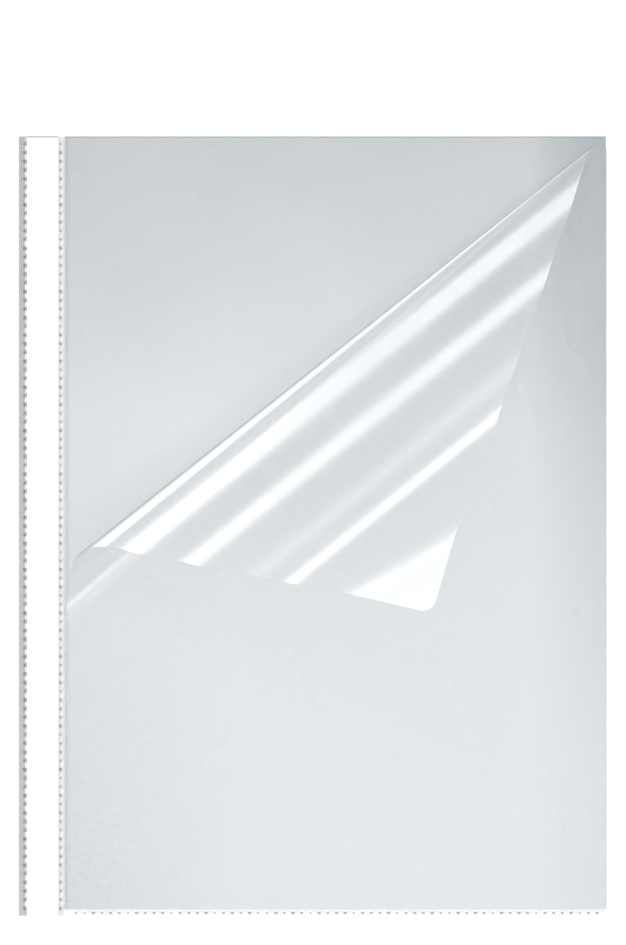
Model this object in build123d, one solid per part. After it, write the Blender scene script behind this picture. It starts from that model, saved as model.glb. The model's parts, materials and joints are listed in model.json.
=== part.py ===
from build123d import *
from math import cos, radians, sin, tan
import os

# A punched sheet protector lying on its back, in millimetres.
# X runs across the page, Y up the page and Z out of the page. The origin is the middle of the
# sheet, on the surface that it lies on.

# Sheet
sheet_width = 230.0
sheet_height = 305.0
film_thickness = 0.12

# Punched margin, from the left edge of the sheet inwards
outer_weld_width = 3.2
strip_width = 12.3
strip_thickness = 0.20
inner_weld_width = 2.5

# Pocket
bottom_weld_height = 2.5
page_bend_gap = 0.30
front_edge_setback = 0.45
front_top_setback = 4.7

# Punched holes: distances from the middle of the strip, the same above and below it
hole_width = 6.0
round_hole_offsets = (81.0, 120.0)
long_hole_offsets = (37.5, 57.0, 107.0)
long_hole_lengths = (11.0, 9.0, 8.5)

# Dots pressed into the welds
dot_pitch = 3.4
dot_length = 1.6
dot_width = 0.9
dot_depth = 0.14
outer_dot_inset = 1.0
inner_dot_inset = 1.2
bottom_dot_inset = 1.1

# Corner of the front film, rolled back as a cone whose point is the top right corner of the sheet.
# The roll is a row of flat strips. The film angles are those of the film when it lies flat.
first_bend_angle = 42.1
roll_film_angle = 9.3
turn_back_angle = 152.0
roll_strips = 3
bend_gap = 0.20
flap_corner_radius = 5.0

# Places that follow from the sizes
left = -sheet_width / 2
right = sheet_width / 2
bottom = -sheet_height / 2
top = sheet_height / 2
strip_left = left + outer_weld_width
strip_right = strip_left + strip_width
strip_middle = (strip_left + strip_right) / 2
margin_right = strip_right + inner_weld_width
back_left = margin_right + page_bend_gap
front_left = back_left + front_edge_setback
front_top = top - front_top_setback
pocket_bottom = bottom + bottom_weld_height
front_low = film_thickness + strip_thickness
stack = front_low + film_thickness
fold_left = right - stack / 2

apex = Vector(right, top, front_low + film_thickness / 2)
last_bend = roll_strips + 1


def slab(x_low, x_high, y_low, y_high, z_low, z_high):
    """A rectangular sheet between two corners."""
    block = Box(x_high - x_low, y_high - y_low, z_high - z_low, align=(Align.MIN, Align.MIN, Align.MIN))
    return Pos(x_low, y_low, z_low) * block


def film(points):
    """A piece of front film, lying flat, with the given outline."""
    outline = make_face(Polyline(*points, close=True))
    return extrude(Pos(0, 0, front_low) * outline, amount=film_thickness, dir=(0, 0, 1))


def punch():
    """Cutter for all the holes of the margin."""
    holes = Pos(strip_middle, 0) * Circle(hole_width / 2)
    for offset in round_hole_offsets:
        for side in (-1, 1):
            holes += Pos(strip_middle, side * offset) * Circle(hole_width / 2)
    for offset, length in zip(long_hole_offsets, long_hole_lengths):
        for side in (-1, 1):
            holes += Pos(strip_middle, side * offset) * SlotOverall(length, hole_width, rotation=90)
    return extrude(holes, amount=stack)


def punched_layer(z_low, z_high):
    """One layer of the margin between the two welds, with its holes."""
    return slab(strip_left, strip_right, bottom, top, z_low, z_high) - punch()


def dots_up(x_middle, y_low, y_high):
    """A row of pressed dots that runs up the page."""
    count = int((y_high - y_low - dot_length) / dot_pitch)
    spots = GridLocations(dot_pitch, dot_pitch, 1, count)
    row = spots * Box(dot_width, dot_length, 2 * dot_depth)
    return Pos(x_middle, (y_low + y_high) / 2, stack) * Part(children=row)


def dots_across(x_low, x_high, y_middle):
    """A row of pressed dots that runs across the page."""
    count = int((x_high - x_low - dot_length) / dot_pitch)
    spots = GridLocations(dot_pitch, dot_pitch, count, 1)
    row = spots * Box(dot_length, dot_width, 2 * dot_depth)
    return Pos((x_low + x_high) / 2, y_middle, stack) * Part(children=row)


def bend_angle(number):
    """Angle of a bend line below the top edge, on the flat film. Bend 1 is the lowest."""
    return radians(first_bend_angle - (number - 1) * roll_film_angle / roll_strips)


def bend_turn(number):
    """How far the film turns at a bend: the first and the last bend take half of a full step."""
    step = turn_back_angle / roll_strips
    if number in (1, last_bend):
        return step / 2
    return step


def bend_top(number, shift):
    """Point where a bend line, shifted up the film, meets the free top edge of the film."""
    angle = bend_angle(number)
    return (apex.X - (apex.Y - front_top) / tan(angle) - shift / sin(angle), front_top)


def bend_left(number, shift):
    """Point where a bend line, shifted up the film, meets the free left edge of the film."""
    angle = bend_angle(number)
    return (front_left, apex.Y - (apex.X - front_left) * tan(angle) + shift / cos(angle))


def rolled(flat_piece, number):
    """The flat piece above a bend line, turned back at that line and at every line below it."""
    piece = flat_piece
    for bend in range(number, 0, -1):
        angle = bend_angle(bend)
        piece = piece.rotate(Axis(apex, (cos(angle), sin(angle), 0)), bend_turn(bend))
    return piece


def margin_back_film():
    return punched_layer(0, film_thickness)


def reinforcement_strip():
    return punched_layer(film_thickness, front_low)


def margin_cover_film():
    return punched_layer(front_low, stack)


def outer_weld():
    band = slab(left, strip_left, bottom, top, 0, stack)
    return band - dots_up(strip_left - outer_dot_inset, bottom, top)


def inner_weld():
    band = slab(strip_right, margin_right, bottom, top, 0, stack)
    return band - dots_up(strip_right + inner_dot_inset, bottom, top)


def bottom_weld():
    band = slab(front_left, right, bottom, pocket_bottom, 0, stack)
    return band - dots_across(front_left, right, pocket_bottom - bottom_dot_inset)


def back_film():
    return slab(back_left, fold_left, pocket_bottom, top, 0, film_thickness)


def side_fold():
    """The right edge, where the film turns over in half a round."""
    height = front_top - pocket_bottom
    middle = (front_top + pocket_bottom) / 2
    rod = Pos(fold_left, middle, stack / 2) * Rot(90, 0, 0) * Cylinder(stack / 2, height)
    return rod & slab(fold_left, right, pocket_bottom, front_top, 0, stack)


def front_film():
    """The part of the front film that lies flat, below the first bend."""
    return film(
        [
            (front_left, pocket_bottom),
            (fold_left, pocket_bottom),
            (fold_left, front_top),
            bend_top(1, -bend_gap / 2),
            bend_left(1, -bend_gap / 2),
        ]
    )


def curl_strip(number):
    """The narrow strip of film between one bend line and the next."""
    flat = film(
        [
            bend_top(number, bend_gap / 2),
            bend_left(number, bend_gap / 2),
            bend_left(number + 1, -bend_gap / 2),
            bend_top(number + 1, -bend_gap / 2),
        ]
    )
    return rolled(flat, number)


def corner_flap():
    """The free corner of the front film above the last bend, with its rounded tip."""
    flat = film(
        [
            bend_top(last_bend, bend_gap / 2),
            bend_left(last_bend, bend_gap / 2),
            (front_left, front_top),
        ]
    )
    tip = flat.edges().filter_by(Axis.Z).sort_by(lambda edge: edge.center().X - edge.center().Y)[0]
    return rolled(fillet(tip, flap_corner_radius), last_bend)


sub_parts = {
    "margin_back_film": margin_back_film(),
    "reinforcement_strip": reinforcement_strip(),
    "margin_cover_film": margin_cover_film(),
    "outer_weld": outer_weld(),
    "inner_weld": inner_weld(),
    "bottom_weld": bottom_weld(),
    "back_film": back_film(),
    "side_fold": side_fold(),
    "front_film": front_film(),
    "corner_flap": corner_flap(),
}
for number in range(1, last_bend):
    sub_parts[f"curl_strip_{number}"] = curl_strip(number)

os.makedirs("parts", exist_ok=True)
for node, shape in sub_parts.items():
    export_step(shape, f"parts/{node}.step")
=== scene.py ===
import json
import math

import bmesh
import bpy
import numpy as np
from mathutils import Matrix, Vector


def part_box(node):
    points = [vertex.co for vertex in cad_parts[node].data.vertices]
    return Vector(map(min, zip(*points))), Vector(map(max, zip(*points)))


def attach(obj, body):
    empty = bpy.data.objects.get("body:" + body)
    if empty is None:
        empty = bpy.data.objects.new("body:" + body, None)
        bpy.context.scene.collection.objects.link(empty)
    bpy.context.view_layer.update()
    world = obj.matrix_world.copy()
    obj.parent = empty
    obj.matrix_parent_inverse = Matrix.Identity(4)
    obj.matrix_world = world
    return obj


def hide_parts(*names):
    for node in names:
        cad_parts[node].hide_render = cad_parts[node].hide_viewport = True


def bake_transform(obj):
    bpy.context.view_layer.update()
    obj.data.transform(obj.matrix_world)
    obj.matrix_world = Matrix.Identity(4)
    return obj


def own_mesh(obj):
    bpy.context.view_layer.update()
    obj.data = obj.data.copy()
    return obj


# A clear punched pocket lying on its back, seen from above, in metres.
# X runs across the page, Y up the page and Z out of the page.

MM = 0.001
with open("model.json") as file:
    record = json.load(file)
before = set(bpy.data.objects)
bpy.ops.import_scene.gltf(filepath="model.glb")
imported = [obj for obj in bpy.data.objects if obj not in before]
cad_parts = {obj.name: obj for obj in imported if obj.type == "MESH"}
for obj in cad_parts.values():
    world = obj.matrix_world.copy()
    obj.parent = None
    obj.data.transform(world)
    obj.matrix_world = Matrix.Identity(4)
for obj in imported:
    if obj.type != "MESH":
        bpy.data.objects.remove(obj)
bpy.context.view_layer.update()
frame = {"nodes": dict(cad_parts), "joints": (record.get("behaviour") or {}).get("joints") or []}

# Places read from the CAD nodes
left, bottom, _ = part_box("outer_weld")[0]
strip_left, top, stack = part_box("outer_weld")[1]
strip_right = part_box("reinforcement_strip")[1][0]
margin_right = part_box("inner_weld")[1][0]
back_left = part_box("back_film")[0][0]
film_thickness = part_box("back_film")[1][2]
front_left, pocket_bottom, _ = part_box("front_film")[0]
fold_left, front_top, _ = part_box("front_film")[1]
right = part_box("side_fold")[1][0]
front_middle = stack - film_thickness / 2

# Shape of the film
hinge_film_width = 1.2 * MM
film_wave_height = 0.10 * MM
film_grain = 0.22
margin_film_share = 0.8
roll_segments = 48
roll_columns = 110
flap_rulings = 190
flap_columns = 170
ruling_crowding = 1.6
tip_radius = 5.0 * MM
tip_start_angle = 0.0004
sharp_corner = math.radians(40)

# Points of the flat films, across and up the page. The front film has a second, coarser part across.
back_points = (90, 120)
hinge_points = (13, 31)
front_points = (110, 5, 120)
side_fold_points = (15, 31)

# Waves of the flat films: radians per metre across and up the page, and a shift of the second wave
first_wave = (61.0, 23.0)
second_wave = (-19.0, 47.0)
second_wave_shift = 1.1

# The flap reaches back over the roll by this angle, so that no gap opens when the curl is laid flat
flap_lap = math.radians(0.43)

# Waves of the flap run along the fold. Each has a distance from the fold, a width and a change of slope
# in degrees. Between the waves the film is steeper, so that the flap as a whole keeps to its plane.
flap_waves = (
    (8.7 * MM, 6.3 * MM, -15.5),
    (27.0 * MM, 4.8 * MM, -13.5),
    (46.5 * MM, 5.0 * MM, -8.0),
    (57.0 * MM, 3.0 * MM, -13.0),
)
flap_wave_start = 2.0 * MM
flap_wave_full = 9.0 * MM
flap_wave_end = 86.0 * MM

# The round film turns back by this angle. Its flat solids turn more, because the pressed film lies lower.
film_turn = math.radians(149.0)

# Just inside the fold the round film is pressed to an even slope. The places across the fold where this
# starts, is full, starts to end and has ended are shares of the distance along the fold.
crest_slope = math.tan(math.radians(22.0))
crest_places = (0.0025, 0.0045, 0.015, 0.026)
crest_samples = 300

# The outline of the roll is looked for from its first ray to a little past its third
outline_reach = 1.2
outline_samples = 400

# Distances in plan, from the fold over the flap, at which its changes of slope are worked out
plan_reach = 0.15
plan_samples = 1501

# The tip of the flap bends outwards along a line that is turned a little from the fold
tip_bend_turn = math.radians(10.0)
tip_bend_start = 99.0 * MM
tip_bend_end = 112.0 * MM
tip_bend_change = -14.8

# Pressed dots of the welds
dot_pitch = 3.4 * MM
dot_length = 1.9 * MM
dot_width = 1.1 * MM
dot_depth = 0.14 * MM
dot_rim = 0.05 * MM
outer_dot_inset = 1.0 * MM
inner_dot_inset = 1.2 * MM
bottom_dot_inset = 1.1 * MM
weld_rows_per_dot = 12
weld_columns = 22
weld_edge = 0.2 * MM

# Profile of a dot, in half sizes of the dot: where it starts to sink, how soon it is deep, and its rim
dot_start = 1.15
dot_slope = 0.55
rim_middle = 1.45
rim_width = 0.3

# Pads painted dark in the dots, as painted shade in their hollows, and beads painted pale between them, as
# painted highlights: places from the edge of the strip or the pocket
outer_bead_inset = 0.4 * MM
inner_pad_inset = 0.8 * MM
inner_bead_inset = 1.5 * MM
bottom_pad_inset = 1.4 * MM
bottom_bead_inset = 0.5 * MM
pad_form = {"shift": 0.0, "length": 1.3 * MM, "width": 0.8 * MM, "depth": 0.12 * MM}
bead_form = {"shift": 0.5, "length": 2.2 * MM, "width": 0.9 * MM, "depth": 0.08 * MM}
mark_corners = 14
mark_shoulder = 0.75
mark_crown = 0.25

# How the pads and beads differ in size: a share, a step from one to the next and a shift
mark_changes = ((0.18, 2.4, 0.0), (0.10, 5.1, 1.0))

# Camera, straight above
camera_height = 4.0
view_height = 0.36986
view_middle = (0.00016, 0.02098)
view_distance = 100.0
film_layers_seen = 32


# Meshes


def mesh_object(name, points, faces):
    """A smooth mesh whose open edges and corners stay sharp."""
    mesh = bpy.data.meshes.new(name)
    mesh.from_pydata([tuple(map(float, point)) for point in points], [], faces)
    shape = bmesh.new()
    shape.from_mesh(mesh)
    for edge in shape.edges:
        edge.smooth = len(edge.link_faces) == 2 and edge.calc_face_angle(0.0) < sharp_corner
    for face in shape.faces:
        face.smooth = True
    shape.to_mesh(mesh)
    shape.free()
    piece = bpy.data.objects.new(name, mesh)
    bpy.context.collection.objects.link(piece)
    return piece


def grid_faces(rows, columns):
    """Quads between neighbouring points of a grid that is stored row by row."""
    faces = []
    for row in range(rows - 1):
        for column in range(columns - 1):
            corner = row * columns + column
            faces.append((corner, corner + 1, corner + columns + 1, corner + columns))
    return faces


def film_sheet(name, grid):
    """A sheet of film of the real thickness around a grid of points."""
    rows, columns, _ = grid.shape
    piece = mesh_object(name, grid.reshape(-1, 3), grid_faces(rows, columns))
    solid = piece.modifiers.new("film", "SOLIDIFY")
    solid.thickness = film_thickness
    solid.offset = 0.0
    return piece


def margin_film(node):
    """A punched film of the margin, thinned so that it lies just clear of the strip."""
    mesh = frame["nodes"][node].data.copy()
    low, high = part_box(node)[0][2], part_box(node)[1][2]
    middle = (low + high) / 2
    for vertex in mesh.vertices:
        vertex.co.z = middle + (vertex.co.z - middle) * margin_film_share
    piece = bpy.data.objects.new(f"{node}_sheet", mesh)
    bpy.context.collection.objects.link(piece)
    return piece


def flat_wave(x, y, x_low, x_high, y_low, y_high):
    """Gentle rise and fall of film that lies flat, none at its edges."""
    edge = np.sin(np.pi * np.clip((x - x_low) / (x_high - x_low), 0, 1))
    edge = edge * np.sin(np.pi * np.clip((y - y_low) / (y_high - y_low), 0, 1))
    wave = np.sin(first_wave[0] * x + first_wave[1] * y)
    wave = wave * np.sin(second_wave[1] * y + second_wave[0] * x + second_wave_shift)
    return film_wave_height * np.sqrt(np.clip(edge, 0, 1)) * (1 + wave) / 2


def unit(vector):
    return vector / np.linalg.norm(vector)


def turned(vector, axis, angle):
    """The vector turned about a unit axis."""
    along = axis * np.dot(axis, vector)
    across = vector - along
    return along + math.cos(angle) * across + math.sin(angle) * np.cross(axis, across)


# Bend lines of the flat solids of the curl in the rest pose, from the corner of the sheet outwards
bends = [joint for joint in frame["joints"] if joint["name"].startswith("curl_bend_")]
bends.sort(key=lambda joint: joint["name"])
apex = np.array(bends[0]["pos_m"])
solid_rays = [-unit(np.array(joint["axis"])) for joint in bends]
first_angle = math.atan2(-solid_rays[0][1], -solid_rays[0][0])
chord_angles = [math.acos(np.dot(a, b)) for a, b in zip(solid_rays, solid_rays[1:])]
solid_turns = [math.radians(-joint["range_deg"][0]) for joint in bends]
film_turns = [turn * film_turn / sum(solid_turns) for turn in solid_turns]


def flat_ray(number):
    """A bend line on the flat film."""
    angle = first_angle - sum(chord_angles[:number])
    return -np.array([math.cos(angle), math.sin(angle), 0.0])


def rolled_up(vector, number):
    """A direction on the flat film, turned back at a bend of the round film and at every bend below it."""
    for bend in range(number, -1, -1):
        vector = turned(vector, -flat_ray(bend), film_turns[bend])
    return vector


rays = [rolled_up(flat_ray(number), number) for number in range(len(bends))]
cone_axis = unit(np.cross(rays[1] - rays[0], rays[3] - rays[0]))
if np.dot(cone_axis, rays[0]) < 0:
    cone_axis = -cone_axis


def cone_turn(a, b):
    """Angle about the axis of the cone from ray a to ray b."""
    across_a = a - cone_axis * np.dot(cone_axis, a)
    across_b = b - cone_axis * np.dot(cone_axis, b)
    return math.atan2(np.dot(cone_axis, np.cross(across_a, across_b)), np.dot(across_a, across_b))


def film_span(angle):
    """Where a straight line of the film from the apex starts at its top edge and ends at its left edge."""
    near = (apex[1] - front_top) / math.sin(angle)
    far = (apex[0] - front_left) / math.cos(angle)
    return near, far


# Directions of the fold in plan: along it towards the apex, and away from it over the flap
fold_direction = math.radians(38.9)
fold_along = np.array([math.cos(fold_direction), math.sin(fold_direction), 0.0])
fold_away = np.array([math.sin(fold_direction), -math.cos(fold_direction), 0.0])


def smooth_step(values, start, end):
    """Rises gently from 0 at the start to 1 at the end."""
    share = np.clip((values - start) / (end - start), 0.0, 1.0)
    return share * share * (3 - 2 * share)


# Outline of the roll in plan and its radius, as shares of the distance along the fold
outline_turns = np.linspace(0, cone_turn(rays[0], rays[2]) * outline_reach, outline_samples)
roll_rays = [turned(rays[0], cone_axis, turn) for turn in outline_turns]
outline_share = min(-np.dot(ray, fold_away) / np.dot(ray, fold_along) for ray in roll_rays)
radius_share = math.tan(math.acos(np.dot(cone_axis, rays[0])))
crest_shares = np.linspace(crest_places[0], crest_places[-1], crest_samples)


def crest_drops():
    """How far the pressed film lies below the round one, as shares of the distance along the fold."""
    round_slope = (radius_share - crest_shares) / np.sqrt(crest_shares * (2 * radius_share - crest_shares))
    part = smooth_step(crest_shares, *crest_places[:2]) * (1 - smooth_step(crest_shares, *crest_places[2:]))
    return np.cumsum((round_slope - crest_slope) * part) * (crest_shares[1] - crest_shares[0])


crest = crest_drops()


def pressed(point):
    """The point lowered by the drop of the film just inside the fold."""
    along = -np.dot(point - apex, fold_along)
    inside = np.dot(point - apex, fold_away) / along - outline_share
    return point - np.array([0.0, 0.0, along * np.interp(inside, crest_shares, crest, left=0.0)])


def roll_grid(number):
    """The smooth roll of film between one bend line and the next."""
    start, end = rays[number], rays[number + 1]
    plane_side = unit(end - start * np.dot(start, end))
    flat_start = first_angle - sum(chord_angles[:number])
    rows = []
    for share in np.linspace(0, 1, roll_segments + 1):
        ray = turned(start, cone_axis, share * cone_turn(start, end))
        angle = flat_start - math.atan2(np.dot(ray, plane_side), np.dot(ray, start))
        near, far = film_span(angle)
        row = [apex + ray * distance for distance in np.linspace(near, far, roll_columns)]
        if number == len(rays) - 2:
            row = [pressed(point) for point in row]
        rows.append(row)
    return np.array(rows)


# Film of the flap: its plane, and the direction in plan away from the line where its tip bends
last_ray = rays[-1]
last_angle = first_angle - sum(chord_angles)
flap_normal = turned(unit(np.cross(rays[-2], rays[-1])), -last_ray, film_turns[-1])
flap_side = np.cross(flap_normal, last_ray)
tip_direction = fold_direction - tip_bend_turn
tip_away = np.array([math.sin(tip_direction), -math.cos(tip_direction), 0.0])
plan_distances = np.linspace(0.0, plan_reach, plan_samples)


def heights(slope):
    """Heights above the plane of the flap at the plan distances, from the change of slope there."""
    return np.cumsum(slope) * (plan_distances[1] - plan_distances[0]) / abs(flap_normal[2])


def wave_slope():
    """Change of slope by the waves, against the distance from the fold."""
    slope = np.zeros_like(plan_distances)
    for middle, width, change in flap_waves:
        slope += math.radians(change) * np.exp(-(((plan_distances - middle) / width) ** 2))
    slope -= slope[plan_distances <= flap_wave_end].mean()
    return slope * smooth_step(plan_distances, flap_wave_start, flap_wave_full)


def tip_slope():
    """Change of slope by the bend of the tip, against the distance from the turned line."""
    return math.radians(tip_bend_change) * smooth_step(plan_distances, tip_bend_start, tip_bend_end)


def flap_grid():
    """The free corner of the film beyond the last bend, with its rounded tip."""
    tip_centre = np.array([front_left + tip_radius, front_top - tip_radius]) - apex[:2]
    tip_angle = math.atan2(-tip_centre[1], -tip_centre[0])
    tip_distance = np.hypot(*tip_centre)
    lowest = tip_angle - math.asin(tip_radius / tip_distance) + tip_start_angle
    corner_angle = math.atan2(apex[1] - front_top + tip_radius, apex[0] - front_left)
    waves, tip_bend = heights(wave_slope()), heights(tip_slope())
    rows = []
    for share in np.linspace(1, 0, flap_rulings):
        angle = lowest + (last_angle + flap_lap - lowest) * share**ruling_crowding
        near, far = film_span(angle)
        if angle < corner_angle:
            across = tip_distance * math.sin(tip_angle - angle)
            along = tip_distance * math.cos(tip_angle - angle)
            far = along + math.sqrt(max(tip_radius**2 - across**2, 0.0))
        ray = last_ray * math.cos(last_angle - angle) + flap_side * math.sin(last_angle - angle)
        row = []
        for distance in np.linspace(near, far, flap_columns):
            point = apex + ray * distance
            lift = np.interp(np.dot(point - apex, fold_away), plan_distances, waves)
            lift += np.interp(np.dot(point - apex, tip_away), plan_distances, tip_bend)
            row.append(pressed(point) + flap_normal * lift)
        rows.append(row)
    return np.array(rows)


def back_grid():
    """The back film from the hinge film to the fold at the right edge."""
    x = np.linspace(back_left + hinge_film_width, fold_left, back_points[0])
    y = np.linspace(pocket_bottom, top, back_points[1])
    across, up = np.meshgrid(x, y)
    height = film_thickness / 2 + flat_wave(across, up, x[0], x[-1], y[0], y[-1])
    return np.stack([across, up, height], axis=-1)


def hinge_grid():
    """The narrow film that bends when the page is turned."""
    x = np.linspace(margin_right, back_left + hinge_film_width, hinge_points[0])
    y = np.linspace(pocket_bottom, top, hinge_points[1])
    across, up = np.meshgrid(x, y)
    return np.stack([across, up, np.full_like(across, film_thickness / 2)], axis=-1)


def front_grid():
    """The front film that lies flat, up to the first bend line."""
    bend_foot = apex[0] - (apex[1] - front_top) / math.tan(first_angle)
    left_part = np.linspace(front_left, bend_foot, front_points[0])
    right_part = np.linspace(bend_foot, fold_left, front_points[1])
    x = np.concatenate([left_part, right_part[1:]])
    columns = []
    for place in x:
        highest = min(front_top, apex[1] - (apex[0] - place) * math.tan(first_angle))
        y = np.linspace(pocket_bottom, highest, front_points[2])
        height = front_middle + flat_wave(place, y, front_left, fold_left, pocket_bottom, highest)
        columns.append(np.stack([np.full_like(y, place), y, height], axis=-1))
    return np.stack(columns, axis=1)


def fold_grid():
    """The half-round fold at the right edge."""
    radius = (stack - film_thickness) / 2
    turns = np.linspace(-math.pi / 2, math.pi / 2, side_fold_points[0])
    rows = []
    for y in np.linspace(pocket_bottom, front_top, side_fold_points[1]):
        row = []
        for turn in turns:
            row.append((fold_left + radius * math.cos(turn), y, stack / 2 + radius * math.sin(turn)))
        rows.append(row)
    return np.array(rows)


def dot_height(along, across):
    """Height of a weld's surface around its pressed dots, at places along and across the row."""
    along = (along + dot_pitch / 2) % dot_pitch - dot_pitch / 2
    distance = np.hypot(along / (dot_length / 2), across / (dot_width / 2))
    sunk = np.clip((dot_start - distance) / dot_slope, 0, 1)
    rim = np.exp(-(((distance - rim_middle) / rim_width) ** 2))
    return dot_rim * rim - dot_depth * sunk * sunk * (3 - 2 * sunk)


def weld_band(name, long_low, long_high, wide_low, wide_high, row_place, upright):
    """A weld with a row of pressed dots. It runs up the page, or across it."""
    long_count = int((long_high - long_low) / dot_pitch * weld_rows_per_dot)
    wide_count = weld_columns
    long_middle = (long_low + long_high) / 2
    longs, wides = np.meshgrid(
        np.linspace(long_low, long_high, long_count),
        np.linspace(wide_low, wide_high, wide_count),
        indexing="ij",
    )
    lift = dot_height(longs - long_middle, wides - row_place)
    edge = np.minimum(wides - wide_low, wide_high - wides)
    high = stack - dot_rim + lift * np.clip(edge / weld_edge, 0, 1)
    x, y = (wides, longs) if upright else (longs, wides)
    upper = np.stack([x, y, high], axis=-1).reshape(-1, 3)
    lower = np.stack([x, y, np.zeros_like(x)], axis=-1).reshape(-1, 3)
    count = len(upper)
    faces = grid_faces(long_count, wide_count)
    faces += [tuple(count + corner for corner in reversed(face)) for face in faces]
    ring = [row * wide_count for row in range(long_count)]
    ring += [(long_count - 1) * wide_count + column for column in range(1, wide_count)]
    ring += [row * wide_count + wide_count - 1 for row in range(long_count - 2, -1, -1)]
    ring += list(range(wide_count - 2, 0, -1))
    for a, b in zip(ring, ring[1:] + ring[:1]):
        faces.append((b, a, count + a, count + b))
    if not upright:
        faces = [tuple(reversed(face)) for face in faces]
    piece = mesh_object(name, np.concatenate([upper, lower]), faces)
    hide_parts(name.replace("_band", ""))
    return piece


def weld_marks(name, row_place, long_low, long_high, upright, shift, length, width, depth):
    """A row of small oval marks along a weld, one per dot pitch, each a little different in size."""
    middle = (long_low + long_high) / 2 + shift * dot_pitch
    count = int((long_high - long_low - dot_length) / dot_pitch / 2)
    corners = mark_corners
    low, high = stack - depth, stack
    crown = high + mark_crown * (high - low)
    points, faces = [], []
    for number in range(-count, count + 1):
        size = 1.0
        for change, step, offset in mark_changes:
            size += change * math.sin(step * number + offset)
        along = middle + number * dot_pitch
        start = len(points)
        for share, height in ((1.0, low), (mark_shoulder, high), (0.0, crown)):
            turns = np.arange(corners) * 2 * math.pi / corners if share else [0.0]
            for turn in turns:
                x = row_place + share * size * width / 2 * math.cos(turn)
                y = along + share * size * length / 2 * math.sin(turn)
                points.append((x, y, height) if upright else (y, x, height))
        for corner in range(corners):
            following = (corner + 1) % corners
            upper = start + corners
            ring = (start + corner, start + following, upper + following, upper + corner)
            cap = (upper + corner, upper + following, upper + corners)
            faces += [ring, cap]
        faces.append(tuple(start + corner for corner in reversed(range(corners))))
    if not upright:
        faces = [tuple(reversed(face)) for face in faces]
    piece = mesh_object(name, points, faces)
    return piece


# Materials

cloud_detail = 3.0
cloud_tones = (0.35, 0.65)
cloud_gloss = (0.3, 0.7)
grain_detail = 2.0
grain_height = 0.05 * MM

# Painted shade of the film, darker towards the top, the right and the lower left: where each starts on the
# page, in metres, and what is left of it at its weak end
top_shade_start = 0.04
right_shade_start = 0.085
right_shade_rise = (-0.10, 0.08)
right_shade_least = 0.25
left_shade_start = -0.03
left_shade_rise_start = -0.02
left_shade_least = 0.3

# Speckle of the film, strongest in the painted shade of the two sides
speckle_scale = 1900
speckle_detail = 1.0
speckle_tones = (0.35, 0.65)
speckle_least = 0.1

# Cut edge at the top, and film seen edge-on
cut_edge_start = 0.5 * MM
cut_edge_full = 0.2 * MM
edge_on_start = 0.74
edge_on_full = 0.86
edge_colour = (0.30, 0.32, 0.33)


def node_set(name):
    material = bpy.data.materials.new(name)
    material.use_nodes = True
    tree = material.node_tree
    return material, tree.nodes, tree.links, tree.nodes["Principled BSDF"]


def noise(nodes, links, place, scale, detail):
    texture = nodes.new("ShaderNodeTexNoise")
    texture.inputs["Scale"].default_value = scale
    texture.inputs["Detail"].default_value = detail
    links.new(place, texture.inputs["Vector"])
    return texture.outputs["Fac"]


def span(nodes, links, value, low, high, new_low, new_high):
    """Maps a value from one range to another."""
    step = nodes.new("ShaderNodeMapRange")
    for name, number in (("From Min", low), ("From Max", high), ("To Min", new_low), ("To Max", new_high)):
        step.inputs[name].default_value = number
    links.new(value, step.inputs["Value"])
    return step.outputs["Result"]


def two_tone(nodes, links, factor, low, high):
    tone = nodes.new("ShaderNodeMix")
    tone.data_type = "RGBA"
    tone.inputs["A"].default_value = (*low, 1.0)
    tone.inputs["B"].default_value = (*high, 1.0)
    links.new(factor, tone.inputs["Factor"])
    return tone.outputs["Result"]


def plastic(name, low, high, alpha, roughness, ior, grain_scale, grain, cloud_scale):
    """Plastic with soft clouds in its tone and gloss, and a fine grain in its surface."""
    material, nodes, links, shader = node_set(name)
    place = nodes.new("ShaderNodeTexCoord").outputs["Object"]
    cloud = noise(nodes, links, place, cloud_scale, cloud_detail)
    tone = span(nodes, links, cloud, *cloud_tones, 0.0, 1.0)
    links.new(two_tone(nodes, links, tone, low, high), shader.inputs["Base Color"])
    gloss = span(nodes, links, cloud, *cloud_gloss, *roughness)
    links.new(gloss, shader.inputs["Roughness"])
    bump = nodes.new("ShaderNodeBump")
    bump.inputs["Strength"].default_value = grain
    bump.inputs["Distance"].default_value = grain_height
    links.new(noise(nodes, links, place, grain_scale, grain_detail), bump.inputs["Height"])
    links.new(bump.outputs["Normal"], shader.inputs["Normal"])
    shader.inputs["Alpha"].default_value = alpha
    shader.inputs["IOR"].default_value = ior
    return material


def maths(nodes, links, operation, first, second):
    step = nodes.new("ShaderNodeMath")
    step.operation = operation
    for socket, value in zip(step.inputs, (first, second)):
        if isinstance(value, float):
            socket.default_value = value
        else:
            links.new(value, socket)
    return step.outputs[0]


def ramp(nodes, links, value, stops):
    """A smooth run of grey values at places between 0 and 1."""
    run = nodes.new("ShaderNodeValToRGB")
    run.color_ramp.interpolation = "EASE"
    while len(run.color_ramp.elements) < len(stops):
        run.color_ramp.elements.new(0.5)
    for element, (position, grey) in zip(run.color_ramp.elements, stops):
        element.position = position
        element.color = (grey, grey, grey, 1.0)
    links.new(value, run.inputs["Fac"])
    return run.outputs["Color"]


def mixed_tone(nodes, links, factor, tone, other):
    """A tone that goes over into another colour."""
    mix = nodes.new("ShaderNodeMix")
    mix.data_type = "RGBA"
    mix.inputs["B"].default_value = (*other, 1.0)
    links.new(factor, mix.inputs["Factor"])
    links.new(tone, mix.inputs["A"])
    return mix.outputs["Result"]


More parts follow.
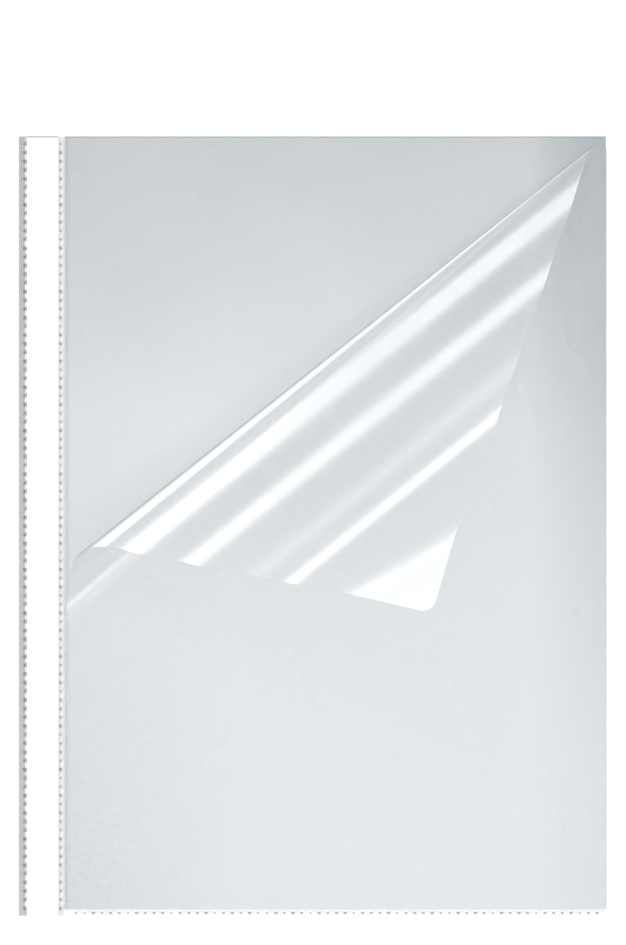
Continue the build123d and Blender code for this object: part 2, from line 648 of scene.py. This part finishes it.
def film(name, low, high, alpha, roughness, ior, grain, painted_shades, cut_edge, slant_stops, dark_edge):
    """Clear film with painted shade: more opaque, and so darker, towards the open top, the right and the
    lower left, and less clear seen at a slant.

    The painted shades are added in that order, and the fine grain goes with those of the two sides.
    """
    material = plastic(name, low, high, alpha, roughness, ior, grain=grain, **film_scales)
    nodes, links = material.node_tree.nodes, material.node_tree.links
    shader = nodes["Principled BSDF"]
    spot = nodes["Texture Coordinate"].outputs["Object"]
    place = nodes.new("ShaderNodeSeparateXYZ")
    links.new(spot, place.inputs[0])
    top_shade, right_shade, left_shade = painted_shades
    # Painted shade: the film is made more opaque towards the top, the right and the lower left, so it looks
    # darker there
    haze_and_shade = span(nodes, links, place.outputs["Y"], top_shade_start, top, alpha, alpha + top_shade)
    far_right = span(nodes, links, place.outputs["X"], right_shade_start, right, 0.0, 1.0)
    upper = span(nodes, links, place.outputs["Y"], *right_shade_rise, right_shade_least, 1.0)
    right_shade_mask = maths(nodes, links, "MULTIPLY", far_right, upper)
    far_left = span(nodes, links, place.outputs["X"], left_shade_start, front_left, 0.0, 1.0)
    lower_half = span(nodes, links, place.outputs["Y"], left_shade_rise_start, bottom, left_shade_least, 1.0)
    left_shade_mask = maths(nodes, links, "MULTIPLY", far_left, lower_half)
    haze_and_shade = maths(nodes, links, "ADD", haze_and_shade, maths(nodes, links, "MULTIPLY", right_shade_mask, right_shade))
    haze_and_shade = maths(nodes, links, "ADD", haze_and_shade, maths(nodes, links, "MULTIPLY", left_shade_mask, left_shade))
    fine_noise = noise(nodes, links, spot, speckle_scale, speckle_detail)
    speckle = span(nodes, links, fine_noise, *speckle_tones, -1.0, 1.0)
    sides = maths(nodes, links, "MAXIMUM", right_shade_mask, left_shade_mask)
    sides = maths(nodes, links, "ADD", sides, speckle_least)
    grains = maths(nodes, links, "MULTIPLY", speckle, sides)
    haze_and_shade = maths(nodes, links, "ADD", haze_and_shade, maths(nodes, links, "MULTIPLY", grains, film_grain * alpha))
    cut = span(nodes, links, place.outputs["Y"], top - cut_edge_start, top - cut_edge_full, 0.0, 1.0)
    haze_and_shade = maths(nodes, links, "ADD", haze_and_shade, maths(nodes, links, "MULTIPLY", cut, cut_edge))
    facing = nodes.new("ShaderNodeLayerWeight").outputs["Facing"]
    slant = ramp(nodes, links, facing, slant_stops)
    links.new(maths(nodes, links, "ADD", haze_and_shade, slant), shader.inputs["Alpha"])
    plain = shader.inputs["Base Color"].links[0].from_socket
    edge_on = ramp(nodes, links, facing, ((edge_on_start, 0.0), (edge_on_full, dark_edge)))
    dark = maths(nodes, links, "MAXIMUM", edge_on, cut)
    links.new(mixed_tone(nodes, links, dark, plain, edge_colour), shader.inputs["Base Color"])
    return material


film_scales = {"grain_scale": 1400, "cloud_scale": 16}

# What the film adds to its haze from square on, at 0, to edge-on, at 1
flat_slant = {"slant_stops": ((0.4, 0.0), (1.0, 0.3)), "dark_edge": 0.0}
rolled_slant = {"slant_stops": ((0.50, 0.0), (0.76, 0.16), (0.88, 0.42)), "dark_edge": 0.9}

back_values = {
    "low": (0.36, 0.41, 0.44),
    "high": (0.41, 0.45, 0.48),
    "roughness": (0.24, 0.32),
    "ior": 1.7,
    "grain": 0.25,
    "cut_edge": 0.25,
    **flat_slant,
}
front_values = {
    "alpha": 0.105,
    "roughness": (0.25, 0.31),
    "ior": 3.2,
    "grain": 0.20,
    "painted_shades": (0.0, 0.03, 0.015),
    "cut_edge": 0.0,
}
# Each film's three shades are painted shade, darkening it towards the top, the right and the lower left
back_look = film("back_film", alpha=0.214, painted_shades=(0.115, 0.21, 0.085), **back_values)
hinge_look = film("hinge_film", alpha=0.28, painted_shades=(0.09, 0.0, 0.09), **back_values)
front_look = film("front_film", (0.56, 0.60, 0.62), (0.62, 0.65, 0.67), **front_values, **flat_slant)
# The rolled film is the same film as the front film, painted a lighter tone as painted light on the roll
rolled_painted_light_look = film("rolled_film_painted_lighter", (0.68, 0.72, 0.74), (0.74, 0.77, 0.79), **front_values, **rolled_slant)
cover_look = film(
    "cover_film",
    (0.95, 0.96, 0.96),
    (0.97, 0.97, 0.97),
    alpha=0.06,
    roughness=(0.20, 0.30),
    ior=1.5,
    grain=0.20,
    painted_shades=(0.0, 0.0, 0.0),
    cut_edge=0.35,
    **flat_slant,
)
fold_look = plastic(
    "side_fold",
    low=(0.34, 0.35, 0.38),
    high=(0.40, 0.41, 0.44),
    alpha=0.30,
    roughness=(0.24, 0.32),
    ior=1.7,
    grain=0.25,
    **film_scales,
)
weld_values = {"roughness": (0.20, 0.32), "ior": 1.8, "grain": 0.30, "grain_scale": 900, "cloud_scale": 60}
outer_look = plastic("outer_weld", (0.24, 0.26, 0.26), (0.32, 0.34, 0.34), alpha=0.36, **weld_values)
inner_look = plastic("inner_weld", (0.46, 0.48, 0.49), (0.56, 0.58, 0.59), alpha=0.22, **weld_values)
lower_look = plastic("bottom_weld", (0.58, 0.60, 0.61), (0.74, 0.76, 0.77), alpha=0.12, **weld_values)
mark_values = {"ior": 1.6, "grain": 0.2, "grain_scale": 900, "cloud_scale": 400}
# Painted shade in the hollows of the pressed dots
dot_shade_look = plastic(
    "dot_painted_shade",
    low=(0.13, 0.14, 0.14),
    high=(0.22, 0.23, 0.23),
    alpha=0.36,
    roughness=(0.20, 0.30),
    **mark_values,
)
# Painted highlight on the beads between the dots
bead_highlight_look = plastic(
    "bead",
    low=(0.92, 0.93, 0.93),
    high=(0.97, 0.97, 0.97),
    alpha=0.85,
    roughness=(0.25, 0.35),
    **mark_values,
)
strip_look = plastic(
    "strip",
    low=(0.95, 0.95, 0.95),
    high=(0.98, 0.98, 0.98),
    alpha=1.0,
    roughness=(0.4, 0.5),
    ior=1.45,
    grain=0.10,
    grain_scale=700,
    cloud_scale=40,
)


def dress(piece, material):
    piece.data.materials.clear()
    piece.data.materials.append(material)


# Pieces of the object

back = film_sheet("back_film_sheet", back_grid())
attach(back, "pocket")
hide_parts("back_film")
dress(back, back_look)

fold = film_sheet("side_fold_sheet", fold_grid())
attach(fold, "pocket")
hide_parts("side_fold")
dress(fold, fold_look)

front = film_sheet("front_film_sheet", front_grid())
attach(front, "pocket")
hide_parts("front_film")
dress(front, front_look)

hinge = film_sheet("hinge_film_sheet", hinge_grid())
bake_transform(hinge)
dress(hinge, hinge_look)

for number in range(len(bends) - 1):
    roll = film_sheet(f"curl_sheet_{number + 1}", roll_grid(number))
    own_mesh(roll)
    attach(roll, f"curl_{number + 1}")
    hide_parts(f"curl_strip_{number + 1}")
    dress(roll, rolled_painted_light_look)

flap = film_sheet("corner_flap_sheet", flap_grid())
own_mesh(flap)
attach(flap, "flap")
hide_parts("corner_flap")
dress(flap, front_look)

outer_row = strip_left - outer_dot_inset
inner_row = strip_right + inner_dot_inset
lower_row = pocket_bottom - bottom_dot_inset
outer = weld_band("outer_weld_band", bottom, top, left, strip_left, outer_row, upright=True)
inner = weld_band("inner_weld_band", bottom, top, strip_right, margin_right, inner_row, upright=True)
lower = weld_band("bottom_weld_band", front_left, right, bottom, pocket_bottom, lower_row, upright=False)
for weld, body, look in (
    (outer, "binding_margin", outer_look),
    (inner, "binding_margin", inner_look),
    (lower, "pocket", lower_look),
):
    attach(weld, body)
    dress(weld, look)

# Each weld has a row of pressed dots with pads of painted shade in them, and a row of beads of painted
# highlight between them
inner_pads = strip_right + inner_pad_inset
inner_beads = strip_right + inner_bead_inset
bottom_pads = pocket_bottom - bottom_pad_inset
bottom_beads = pocket_bottom - bottom_bead_inset
for name, body, low_end, high_end, pad_row, bead_row, upright in (
    ("outer", "binding_margin", bottom, top, outer_row, strip_left - outer_bead_inset, True),
    ("inner", "binding_margin", bottom, top, inner_pads, inner_beads, True),
    ("bottom", "pocket", front_left, right, bottom_pads, bottom_beads, False),
):
    pads = weld_marks(f"{name}_weld_dot_shades", pad_row, low_end, high_end, upright, **pad_form)
    beads = weld_marks(f"{name}_weld_bead_highlights", bead_row, low_end, high_end, upright, **bead_form)
    for marks, look in ((pads, dot_shade_look), (beads, bead_highlight_look)):
        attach(marks, body)
        dress(marks, look)

dress(frame["nodes"]["reinforcement_strip"], strip_look)
for node in ("margin_back_film", "margin_cover_film"):
    layer = margin_film(node)
    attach(layer, "binding_margin")
    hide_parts(node)
    dress(layer, cover_look)


# Stage: white floor, soft studio light

floor_half = 4.0
floor_depth = 0.3 * MM
floor_grey = (0.80, 0.80, 0.80, 1.0)
white_light = (1.0, 1.0, 1.0, 1.0)

# The floor shows as white beyond the second of these distances, and keeps its shadows within the first
glow_places = (0.3, 0.9)
glow_near = 0.35


def seen_white(nodes, links):
    """1 for the rays that show the background: straight to the camera, reflected or passed through."""
    path = nodes.new("ShaderNodeLightPath")
    seen = maths(nodes, links, "MAXIMUM", path.outputs["Is Camera Ray"], path.outputs["Is Glossy Ray"])
    return maths(nodes, links, "MAXIMUM", seen, path.outputs["Is Transmission Ray"])


def floor():
    half, low = floor_half, -floor_depth
    corners = [(-half, -half, low), (half, -half, low), (half, half, low), (-half, half, low)]
    piece = mesh_object("floor", corners, [(0, 1, 2, 3)])
    material, nodes, links, shader = node_set("floor")
    shader.inputs["Base Color"].default_value = floor_grey
    shader.inputs["Roughness"].default_value = 1.0
    shader.inputs["Specular IOR Level"].default_value = 0.0
    shader.inputs["Emission Color"].default_value = white_light
    place = nodes.new("ShaderNodeTexCoord").outputs["Object"]
    length = nodes.new("ShaderNodeVectorMath")
    length.operation = "LENGTH"
    links.new(place, length.inputs[0])
    glow = span(nodes, links, length.outputs["Value"], *glow_places, glow_near, 1.0)
    seen_glow = maths(nodes, links, "MULTIPLY", glow, seen_white(nodes, links))
    links.new(seen_glow, shader.inputs["Emission Strength"])
    dress(piece, material)


def surroundings(ambient):
    world = bpy.data.worlds.new("studio")
    bpy.context.scene.world = world
    world.use_nodes = True
    nodes, links = world.node_tree.nodes, world.node_tree.links
    soft = nodes["Background"]
    soft.inputs["Color"].default_value = white_light
    soft.inputs["Strength"].default_value = ambient
    white = nodes.new("ShaderNodeBackground")
    white.inputs["Color"].default_value = white_light
    white.inputs["Strength"].default_value = 1.0
    choice = nodes.new("ShaderNodeMixShader")
    links.new(seen_white(nodes, links), choice.inputs[0])
    links.new(soft.outputs[0], choice.inputs[1])
    links.new(white.outputs[0], choice.inputs[2])
    links.new(choice.outputs[0], nodes["World Output"].inputs["Surface"])


def softbox(name, toward, target, distance, long_side, long_size, short_size, radiance):
    """A rectangular lamp that faces the target, with its long side along the given direction."""
    lamp = bpy.data.lights.new(name, "AREA")
    lamp.shape = "RECTANGLE"
    lamp.size = long_size
    lamp.size_y = short_size
    lamp.energy = radiance * math.pi * long_size * short_size
    box = bpy.data.objects.new(name, lamp)
    z_axis = unit(np.array(toward))
    x_axis = unit(np.array(long_side) - z_axis * np.dot(z_axis, long_side))
    y_axis = np.cross(z_axis, x_axis)
    place = np.array(target) + z_axis * distance
    matrix = np.eye(4)
    matrix[:3] = np.stack([x_axis, y_axis, z_axis, place], axis=1)
    box.matrix_world = Matrix(matrix.tolist())
    bpy.context.collection.objects.link(box)


def tilted(degrees):
    """Direction this far from the vertical, away from the fold."""
    angle = math.radians(degrees)
    return fold_away * math.sin(angle) + np.array([0.0, 0.0, 1.0]) * math.cos(angle)


floor()
surroundings(ambient=0.575)
softbox(
    "fold_light",
    toward=tilted(-44.0),
    target=(0.33, 0.31, 0.03),
    distance=2.4,
    long_side=fold_along,
    long_size=1.0,
    short_size=0.50,
    radiance=13.0,
)
softbox(
    "rise_light",
    toward=tilted(30.0),
    target=(0.0, 0.0, 0.0),
    distance=2.0,
    long_side=fold_along,
    long_size=0.8,
    short_size=0.45,
    radiance=7.0,
)
softbox(
    "key_light",
    toward=(0.0, 0.0, 1.0),
    target=(0.03, -0.13, 0.0),
    distance=1.0,
    long_side=(1.0, 0.0, 0.0),
    long_size=0.5,
    short_size=0.36,
    radiance=2.5,
)

eye = bpy.data.cameras.new("camera")
eye.lens = eye.sensor_width * camera_height / view_height
eye.dof.use_dof = False
eye.clip_end = view_distance
camera = bpy.data.objects.new("camera", eye)
camera.location = (*view_middle, camera_height)
bpy.context.collection.objects.link(camera)
bpy.context.scene.camera = camera
bpy.context.scene.view_settings.view_transform = "Standard"
bpy.context.scene.cycles.transparent_max_bounces = film_layers_seen
